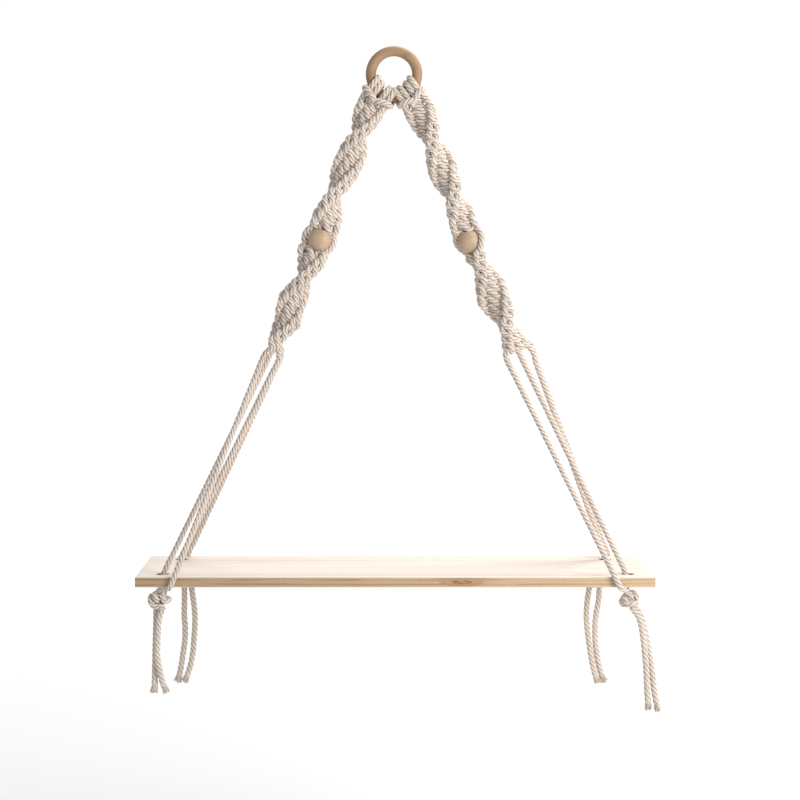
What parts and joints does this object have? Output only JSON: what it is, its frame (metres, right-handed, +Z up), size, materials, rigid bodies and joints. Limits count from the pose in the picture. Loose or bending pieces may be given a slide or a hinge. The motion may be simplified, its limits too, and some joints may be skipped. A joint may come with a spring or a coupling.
{
  "type": "hanging rope shelf",
  "caption": "Small hanging shelf: a thin wooden board slung from one wooden ring on two spiral-knotted cotton cord arms with wooden beads, knotted under the board at its corners.",
  "frame": {"origin": "inner top of the hanging ring, where the hook or nail holds it", "axes": "+Z up; +X along the board, to the right as seen from the front; the front of the shelf faces -Y"},
  "size_m": [0.3551, 0.1084, 0.4543],
  "materials": {
    "ring_wood": "smooth sanded beech with a thin clear coat",
    "bead_wood": "smooth turned pale wood with a thin clear coat",
    "board_wood": "planed and sanded pine, bare",
    "cotton_cord": "matt three-ply twisted cotton cord"
  },
  "bodies": {
    "ring": {"hanging_ring": "ring_wood"},
    "larks_heads": {"left_outer_larks_head": "cotton_cord", "left_inner_larks_head": "cotton_cord", "right_outer_larks_head": "cotton_cord", "right_inner_larks_head": "cotton_cord"},
    "arms": {"left_filler_a": "cotton_cord", "left_filler_b": "cotton_cord", "left_knotting_cord_a": "cotton_cord", "left_knotting_cord_b": "cotton_cord", "right_filler_a": "cotton_cord", "right_filler_b": "cotton_cord", "right_knotting_cord_a": "cotton_cord", "right_knotting_cord_b": "cotton_cord"},
    "left_bead": {"left_bead": "bead_wood"},
    "right_bead": {"right_bead": "bead_wood"},
    "board": {"shelf_board": "board_wood", "left_front_hole_strand": "cotton_cord", "left_front_edge_strand": "cotton_cord", "left_back_hole_strand": "cotton_cord", "left_back_edge_strand": "cotton_cord", "right_front_hole_strand": "cotton_cord", "right_front_edge_strand": "cotton_cord", "right_back_hole_strand": "cotton_cord", "right_back_edge_strand": "cotton_cord", "left_front_stopper_knot": "cotton_cord", "left_back_stopper_knot": "cotton_cord", "right_front_stopper_knot": "cotton_cord", "right_back_stopper_knot": "cotton_cord", "left_front_tail_a": "cotton_cord", "left_front_tail_b": "cotton_cord", "left_back_tail_a": "cotton_cord", "left_back_tail_b": "cotton_cord", "right_front_tail_a": "cotton_cord", "right_front_tail_b": "cotton_cord", "right_back_tail_a": "cotton_cord", "right_back_tail_b": "cotton_cord"}
  },
  "joints": [
    {"name": "sway", "type": "hinge", "parent": "ring", "child": "larks_heads", "pos_m": [0, 0, -0.01255], "axis": [0, 1, 0], "range_deg": [-25, 25]},
    {"name": "swing", "type": "hinge", "parent": "larks_heads", "child": "arms", "pos_m": [0, 0, -0.0413], "axis": [1, 0, 0], "range_deg": [-20, 20]},
    {"name": "board_tilt", "type": "hinge", "parent": "arms", "child": "board", "pos_m": [0, 0, -0.212], "axis": [1, 0, 0], "range_deg": [-15, 15]},
    {"name": "left_bead_spin", "type": "hinge", "parent": "arms", "child": "left_bead", "pos_m": [-0.05192, 0, -0.12808], "axis": [-0.3791, 0, -0.9253], "continuous": true},
    {"name": "right_bead_spin", "type": "hinge", "parent": "arms", "child": "right_bead", "pos_m": [0.05287, 0, -0.12921], "axis": [0.3686, 0, -0.9296], "continuous": true}
  ]
}
